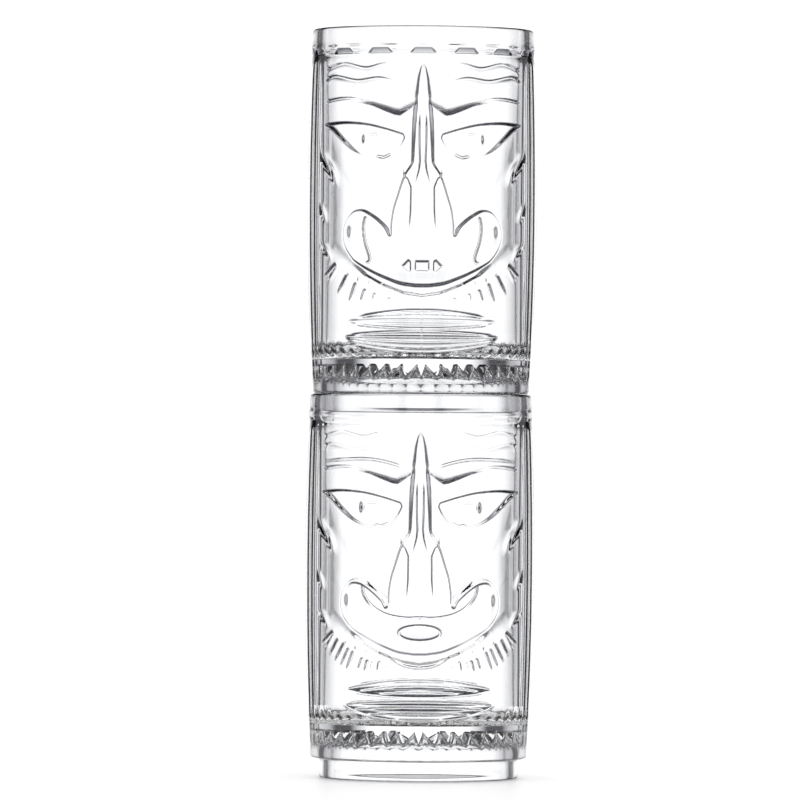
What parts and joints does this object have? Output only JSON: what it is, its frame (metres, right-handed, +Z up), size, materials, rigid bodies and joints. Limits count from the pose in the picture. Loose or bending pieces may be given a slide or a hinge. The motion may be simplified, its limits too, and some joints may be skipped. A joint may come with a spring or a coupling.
{
  "type": "stacked tiki tumblers",
  "caption": "Heavy clear pressed-glass tiki tumblers in a stack, each with a frowning carved face, a faceted rim collar and a foot that nests in the rim below.",
  "frame": {"origin": "middle of the underside of the lower tumbler's foot", "axes": "+Z up the common axis of the stack; the faces look toward -Y; +X to the right of someone looking at the faces"},
  "size_m": [0.082, 0.0832, 0.266],
  "materials": {
    "clear_glass": "clear, fire-polished pressed glass, faintly green at thick edges"
  },
  "bodies": {
    "lower": {"lower_tumbler": "clear_glass"},
    "upper": {"upper_tumbler": "clear_glass"}
  },
  "joints": [
    {"name": "upper_tumbler_lift", "type": "slide", "parent": "lower", "child": "upper", "axis": [0, 0, 1], "range_m": [0, 0.1]}
  ]
}
